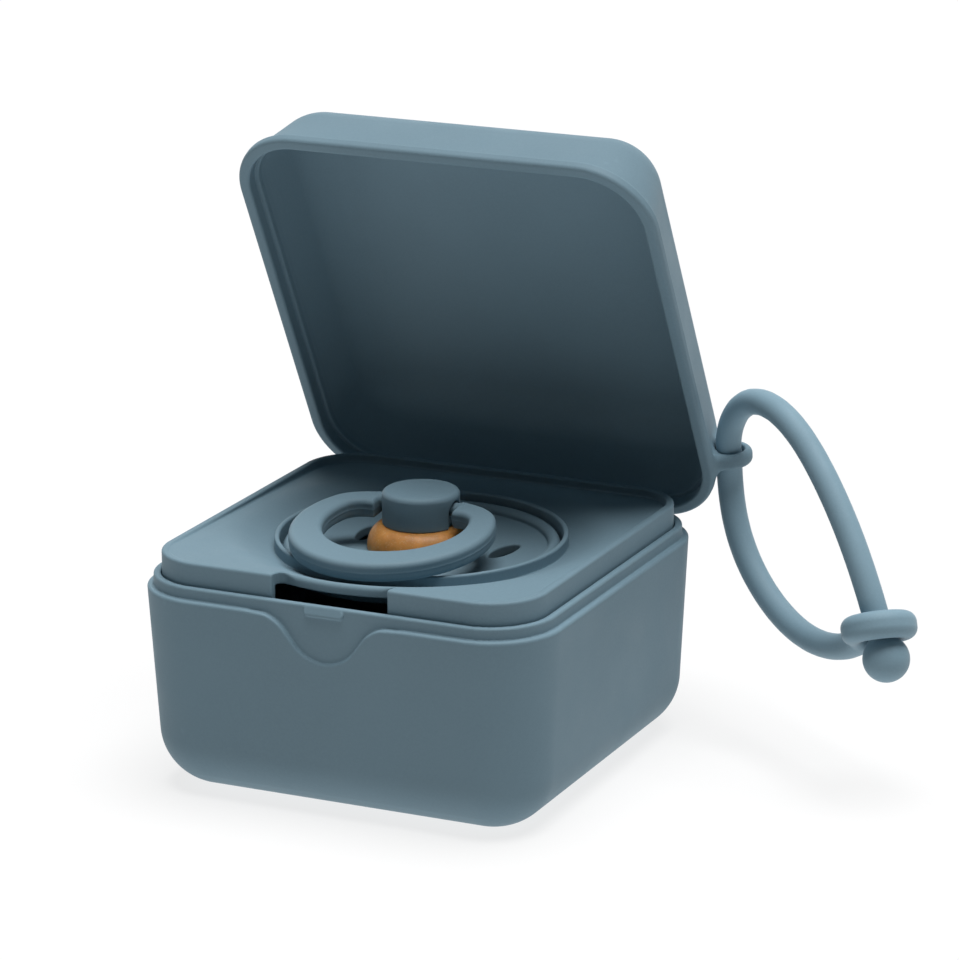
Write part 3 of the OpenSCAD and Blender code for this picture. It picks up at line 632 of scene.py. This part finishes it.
def ring_form(x, y, z):
    """Handle ring, drawn level round its own pivot, its arms a little lower than the pins."""
    a = np.abs(x)
    hole = np.hypot(x, y - RING_HOLE_Y) - RING_HOLE_R
    stub = both(RING_GAP_HALF - a, ARM_FRONT - y)
    gap = both(a - RING_GAP_HALF, RING_HOLE_Y - y)
    plan = both(np.hypot(x, y - RING_Y) - RING_R, y - ARM_BACK, 4.0)
    plan = without(plan, either(without(hole, stub, 1.6), gap, 0.5))
    level = z + RING_DROP * np.clip(1 + y / 27, 0, 1)
    body = both(plan, np.abs(level) - RING_T / 2, RING_EDGE_R) - 0.05 * np.exp(-(level / 0.15) ** 2)
    pin = both(np.hypot(y, z) - PIVOT_R, np.maximum(a - RING_GAP_HALF - 1, KNOB_R - 2.9 - a))
    return either(body, pin, 0.4)


# ---- strap's eyelet and ball ----


def axes_round(direction):
    """Two directions square to the given one, and the direction itself, all of unit length."""
    w = Vector(direction).normalized()
    u = w.orthogonal().normalized()
    return u, w.cross(u), w


EYELET_AXES = axes_round(EYELET_AXIS)


def eyelet_form(x, y, z):
    """Eyelet, with the end of the lower run flowing into it."""
    dx, dy, dz = x - EYELET_AT[0], y - EYELET_AT[1], z - EYELET_AT[2]
    u, v, w = (dx * axis[0] + dy * axis[1] + dz * axis[2] for axis in EYELET_AXES)
    out = np.hypot(u, v) - EYELET_R
    body = np.hypot(out, np.maximum(np.abs(w) - (EYELET_T - EYELET_W) / 2, 0)) - EYELET_W / 2
    last = np.array(LOWER_ROUTE[-1])
    before = (last + np.array(LOWER_ROUTE[-2])) / 2
    body = blended(body, capsule(x, y, z, before, last, STRAP_D / 2 + 0.03), 1.0)
    return without(body, both(out + EYELET_W / 2, np.abs(w) - EYELET_T), 0.2)


def ball_form(x, y, z):
    dx, dy, dz = x - BALL_AT[0], y - BALL_AT[1], z - BALL_AT[2]
    body = np.sqrt(dx ** 2 + dy ** 2 + dz ** 2) - BALL_D / 2
    neck_end = (np.array(BALL_AT) + np.array(EYELET_AT)) / 2
    return blended(body, capsule(x, y, z, BALL_AT, neck_end, STRAP_D / 2 - 0.05), 0.8)


# ---- pieces ----


def turn_about(point, axis, degrees):
    """The turn, as a matrix, about an axis through the point."""
    centre = Matrix.Translation(point)
    return centre @ Matrix.Rotation(math.radians(degrees), 4, axis) @ centre.inverted()


lid_opened = turn_about((0, HINGE_Y, HINGE_Z), "X", -LID_OPEN)
ring_lying = Matrix.Translation((0, 0, PIVOT_Z)) @ Matrix.Rotation(math.radians(RING_TILT), 4, "X")
lid_side = LID_HALF_X + BEAD_OUT

base = skin("base_moulding", base_form, (-CASE_HALF, -CASE_HALF, 0),
            (CASE_HALF, HINGE_Y + KNUCKLE_R, COLLAR_TOP), 0.3, 0.25)
insert = skin("insert_moulding", insert_form, (-INSERT_HALF, -INSERT_HALF, INSERT_BOTTOM),
              (INSERT_HALF, INSERT_HALF, INSERT_TOP), 0.25, 0.3)
lid = skin("lid_moulding", lid_form, (-lid_side, -LID_HALF_Y - BEAD_OUT, HINGE_Z - KNUCKLE_R),
           (LUG_AT[0] + LUG_R, HINGE_Y + KNUCKLE_R, LID_Z + LID_DEPTH), 0.3, 0.3, lid_opened)
shield_out = SHIELD_BEAD_AT + SHIELD_BEAD_R
shield = skin("shield_moulding", shield_form, (-shield_out, -shield_out, SHIELD_LOW - SHIELD_T),
              (shield_out, shield_out, SHIELD_TOP), 0.2, 0.5)
nipple = skin("nipple_moulding", nipple_form, (-FLANGE_R, -FLANGE_R, NIPPLE_BOTTOM),
              (FLANGE_R, FLANGE_R, KNOB_BOTTOM), 0.2, 0.5)
knob = skin("knob_moulding", knob_form, (-KNOB_R, -KNOB_R, KNOB_BOTTOM),
            (KNOB_R, KNOB_R, KNOB_TOP), 0.1, 0.5)
handle_ring = skin("ring_moulding", ring_form, (-RING_R, RING_Y - RING_R, -RING_T / 2 - RING_DROP),
                   (RING_R, ARM_BACK, RING_T / 2), 0.15, 0.6, ring_lying)
eyelet = skin("eyelet_moulding", eyelet_form, (60, 5, 17), (79, 25, 32), 0.2, 0.6)
ball = skin("ball_moulding", ball_form, (70, 7, 18), (79, 15, 30), 0.15, 0.6)

# ---- materials ----

BLUE_GREY = (0.181, 0.277, 0.336)
AMBER = (0.57, 0.25, 0.06)
AMBER_FLECK = (0.66, 0.44, 0.24)
STEEL = (0.45, 0.46, 0.47)


class Graph:
    """A material's node tree, built by short calls."""

    def __init__(self, name):
        self.material = bpy.data.materials.new(name)
        self.material.use_nodes = True
        self.tree = self.material.node_tree
        self.shader = self.tree.nodes["Principled BSDF"]
        self.place = self.add("ShaderNodeTexCoord").outputs["Object"]

    def add(self, kind, **values):
        node = self.tree.nodes.new(kind)
        for key, value in values.items():
            setattr(node, key, value)
        return node

    def link(self, source, target):
        self.tree.links.new(source, target)

    def noise(self, scale, detail=3.0, roughness=0.5):
        """Noise with features about 1/scale metres wide."""
        node = self.add("ShaderNodeTexNoise")
        node.inputs["Scale"].default_value = scale
        node.inputs["Detail"].default_value = detail
        node.inputs["Roughness"].default_value = roughness
        self.link(self.place, node.inputs["Vector"])
        return node.outputs["Fac"]

    def spread(self, value, low, high, source_low=0.0, source_high=1.0):
        """The value mapped from its source range to low..high."""
        node = self.add("ShaderNodeMapRange")
        for key, number in (("From Min", source_low), ("From Max", source_high),
                            ("To Min", low), ("To Max", high)):
            node.inputs[key].default_value = number
        self.link(value, node.inputs["Value"])
        return node.outputs["Result"]

    def mix(self, factor, first, second, blend="MIX"):
        """Two colours, each a socket or a colour, mixed by the factor."""
        node = self.add("ShaderNodeMix", data_type="RGBA", blend_type=blend)
        for socket, value in ((node.inputs["Factor"], factor), (node.inputs["A"], first),
                              (node.inputs["B"], second)):
            if isinstance(value, bpy.types.NodeSocket):
                self.link(value, socket)
            elif isinstance(value, tuple):
                socket.default_value = (*value, 1)
            else:
                socket.default_value = value
        return node.outputs["Result"]

    def bump(self, height, distance, strength=1.0, under=None):
        node = self.add("ShaderNodeBump")
        node.inputs["Strength"].default_value = strength
        node.inputs["Distance"].default_value = distance
        self.link(height, node.inputs["Height"])
        if under is not None:
            self.link(under, node.inputs["Normal"])
        return node.outputs["Normal"]

    def pointiness(self):
        return self.add("ShaderNodeNewGeometry").outputs["Pointiness"]

    def finish(self, **sockets):
        """Sets the shader's sockets, each from a socket, a colour or a number."""
        for key, value in sockets.items():
            socket = self.shader.inputs[key.replace("_", " ")]
            if isinstance(value, bpy.types.NodeSocket):
                self.link(value, socket)
            elif isinstance(value, tuple) and len(value) == 3 and socket.type == "RGBA":
                socket.default_value = (*value, 1)
            else:
                socket.default_value = value
        return self.material


def shade(colour, factor):
    return tuple(channel * factor for channel in colour)


def moulded_plastic(name, colour, gloss=0.56, grain=0.000006):
    """Matt injection-moulded plastic: fine spark-eroded grain, faint flow clouding, and a
    painted highlight that makes the convex edges paler."""
    g = Graph(name)
    cloud = g.noise(45, 2)
    fleck = g.noise(2600, 2, 0.6)
    tone = g.mix(g.spread(cloud, 0, 1, 0.3, 0.7), shade(colour, 0.965), shade(colour, 1.03))
    tone = g.mix(g.spread(fleck, 0, 0.5, 0.35, 0.75), tone, shade(colour, 1.10))
    # painted highlight: convex edges, found by pointiness, are painted paler than the plastic
    edge_highlight = g.spread(g.pointiness(), 0, 0.22, 0.515, 0.57)
    tone = g.mix(edge_highlight, tone, shade(colour, 1.25))
    rough = g.spread(g.noise(160, 3), gloss - 0.04, gloss + 0.05, 0.3, 0.7)
    waves = g.bump(g.noise(90, 1), 0.00002, 0.25)
    skin_bump = g.bump(g.noise(5200, 2, 0.65), grain, 1.0, waves)
    return g.finish(Base_Color=tone, Roughness=rough, Normal=skin_bump, IOR=1.24)


def natural_rubber(name):
    """Amber natural rubber: cloudy, a little translucent, flecked in the dipping."""
    g = Graph(name)
    cloud = g.noise(420, 4, 0.6)
    tone = g.mix(g.spread(cloud, 0, 1, 0.3, 0.7), shade(AMBER, 0.82), shade(AMBER, 1.2))
    tone = g.mix(g.spread(g.noise(3800, 2), 0, 0.6, 0.58, 0.75), tone, AMBER_FLECK)
    rough = g.spread(g.noise(600, 3), 0.38, 0.5, 0.3, 0.7)
    dents = g.bump(g.noise(1500, 3), 0.00002, 0.6)
    return g.finish(Base_Color=tone, Roughness=rough, Normal=dents, IOR=1.4,
                    Subsurface_Weight=0.35, Subsurface_Scale=0.002,
                    Subsurface_Radius=(1.0, 0.55, 0.2))


def soft_silicone(name, colour):
    """Matt silicone: a dusty skin that takes hardly any highlight."""
    g = Graph(name)
    cloud = g.noise(120, 3)
    tone = g.mix(g.spread(cloud, 0, 1, 0.3, 0.7), shade(colour, 0.96), shade(colour, 1.04))
    tone = g.mix(g.spread(g.noise(3000, 2), 0, 0.35, 0.4, 0.8), tone, shade(colour, 1.15))
    rough = g.spread(g.noise(300, 3), 0.52, 0.64, 0.3, 0.7)
    grain = g.bump(g.noise(4200, 3), 0.000008, 0.9)
    return g.finish(Base_Color=tone, Roughness=rough, Normal=grain, IOR=1.3, Sheen_Weight=0.08,
                    Sheen_Roughness=0.4)


def drawn_steel(name):
    """Steel wire with the fine lines that drawing leaves along it."""
    g = Graph(name)
    stretched = g.add("ShaderNodeMapping")
    stretched.inputs["Scale"].default_value = (0.02, 1, 1)
    g.link(g.place, stretched.inputs["Vector"])
    lines = g.add("ShaderNodeTexNoise")
    lines.inputs["Scale"].default_value = 6000
    g.link(stretched.outputs["Vector"], lines.inputs["Vector"])
    rough = g.spread(lines.outputs["Fac"], 0.25, 0.42, 0.3, 0.7)
    tone = g.mix(lines.outputs["Fac"], shade(STEEL, 0.9), shade(STEEL, 1.1))
    scratch = g.bump(lines.outputs["Fac"], 0.000004)
    return g.finish(Base_Color=tone, Roughness=rough, Normal=scratch, Metallic=1.0)


case_plastic = moulded_plastic("case_plastic_look", BLUE_GREY)
lid_plastic = moulded_plastic("lid_plastic_look", BLUE_GREY)
pacifier_plastic = moulded_plastic("pacifier_plastic_look", shade(BLUE_GREY, 0.97), 0.52, 0.000004)
latex = natural_rubber("latex_look")
silicone = soft_silicone("silicone_look", shade(BLUE_GREY, 1.32))
steel = drawn_steel("steel_look")

# ---- which body each piece rides on, what it stands for and its finish ----

for piece, body, node, slot, material in (
        (base, "case", "base_case", "case_plastic", case_plastic),
        (insert, "case", "insert_tray", "case_plastic", case_plastic),
        (lid, "lid", "lid", "lid_plastic", lid_plastic),
        (shield, "pacifier", "pacifier_shield", "pacifier_plastic", pacifier_plastic),
        (nipple, "pacifier", "pacifier_nipple", "latex", latex),
        (knob, "pacifier", "pacifier_knob", "pacifier_plastic", pacifier_plastic),
        (handle_ring, "handle_ring", "pacifier_ring", "pacifier_plastic", pacifier_plastic),
        (upper_run, "strap", "strap_upper", "silicone", silicone),
        (lower_run, "strap", "strap_lower", "silicone", silicone),
        (eyelet, "strap", "strap_eyelet", "silicone", silicone),
        (ball, "strap", "strap_ball", "silicone", silicone)):
    piece.data.materials.clear()
    piece.data.materials.append(material)
    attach(piece, body)
    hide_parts(node)

for node, material in (("hinge_pin", steel), ("pacifier_plug", pacifier_plastic)):
    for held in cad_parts[node].material_slots:
        held.material = material

# ---- floor and light ----

FLOOR_WHITE = (0.95, 0.95, 0.95)
FLOOR_BOUNCE = (0.30, 0.30, 0.30)
FLOOR_GLOW = 0.74
GLOW_SHARE, SEEN_GLOW_SHARE = 0.8, 0.78
FLOOR_HALF = 6.0
WORLD_DIM = 0.01
SUN_AZIMUTH, SUN_ELEVATION, SUN_STRENGTH, SUN_ANGLE = 125, 83, 3.55, 45


def is_seen(tree):
    """1 for rays from the camera, a reflection or a transmission, otherwise 0."""
    path = tree.nodes.new("ShaderNodeLightPath")
    total = path.outputs["Is Camera Ray"]
    for key in ("Is Glossy Ray", "Is Transmission Ray"):
        add = tree.nodes.new("ShaderNodeMath")
        add.operation = "MAXIMUM"
        tree.links.new(total, add.inputs[0])
        tree.links.new(path.outputs[key], add.inputs[1])
        total = add.outputs["Value"]
    return total


def glow_and_matt(tree, colour, glow, share):
    """Matt surface of the colour mixed with a share of even glow."""
    matt = tree.nodes.new("ShaderNodeBsdfDiffuse")
    matt.inputs["Color"].default_value = (*colour, 1)
    light = tree.nodes.new("ShaderNodeEmission")
    light.inputs["Strength"].default_value = glow
    mix = tree.nodes.new("ShaderNodeMixShader")
    mix.inputs["Fac"].default_value = share
    tree.links.new(matt.outputs["BSDF"], mix.inputs[1])
    tree.links.new(light.outputs["Emission"], mix.inputs[2])
    return mix.outputs["Shader"]


def make_floor():
    """White floor that keeps the object's soft shadow, and throws even pale light back."""
    material = bpy.data.materials.new("floor_look")
    material.use_nodes = True
    tree = material.node_tree
    tree.nodes.clear()
    mix = tree.nodes.new("ShaderNodeMixShader")
    tree.links.new(is_seen(tree), mix.inputs["Fac"])
    thrown = glow_and_matt(tree, FLOOR_BOUNCE, FLOOR_GLOW / GLOW_SHARE, GLOW_SHARE)
    seen = glow_and_matt(tree, FLOOR_WHITE, 1.0, SEEN_GLOW_SHARE)
    tree.links.new(thrown, mix.inputs[1])
    tree.links.new(seen, mix.inputs[2])
    output = tree.nodes.new("ShaderNodeOutputMaterial")
    tree.links.new(mix.outputs["Shader"], output.inputs["Surface"])
    corners = FLOOR_HALF * np.array([(-1, -1, 0), (1, -1, 0), (1, 1, 0), (-1, 1, 0)])
    floor = mesh_object("floor", corners, np.array([(0, 1, 2, 3)]))
    floor.data.materials.append(material)


def make_world(strength):
    """White where it is seen, and an even dim light on the object."""
    world = bpy.data.worlds.new("studio")
    bpy.context.scene.world = world
    world.use_nodes = True
    tree = world.node_tree
    background = tree.nodes["Background"]
    background.inputs["Color"].default_value = (1, 1, 1, 1)
    level = tree.nodes.new("ShaderNodeMapRange")
    level.inputs["To Min"].default_value = strength
    level.inputs["To Max"].default_value = 1
    tree.links.new(is_seen(tree), level.inputs["Value"])
    tree.links.new(level.outputs["Result"], background.inputs["Strength"])


def make_sun(name, azimuth, elevation, strength, angle):
    """Even soft light from a direction: azimuth 0 is the front, 90 the right."""
    data = bpy.data.lights.new(name, "SUN")
    data.energy = strength
    data.angle = math.radians(angle)
    lamp = bpy.data.objects.new(name, data)
    a, e = math.radians(azimuth), math.radians(elevation)
    towards = Vector((math.sin(a) * math.cos(e), -math.cos(a) * math.cos(e), math.sin(e)))
    lamp.rotation_euler = towards.to_track_quat("Z", "Y").to_euler()
    bpy.context.scene.collection.objects.link(lamp)


make_floor()
make_world(WORLD_DIM)
make_sun("overhead", SUN_AZIMUTH, SUN_ELEVATION, SUN_STRENGTH, SUN_ANGLE)

bpy.context.scene.view_settings.view_transform = "Standard"

bpy.context.view_layer.update()
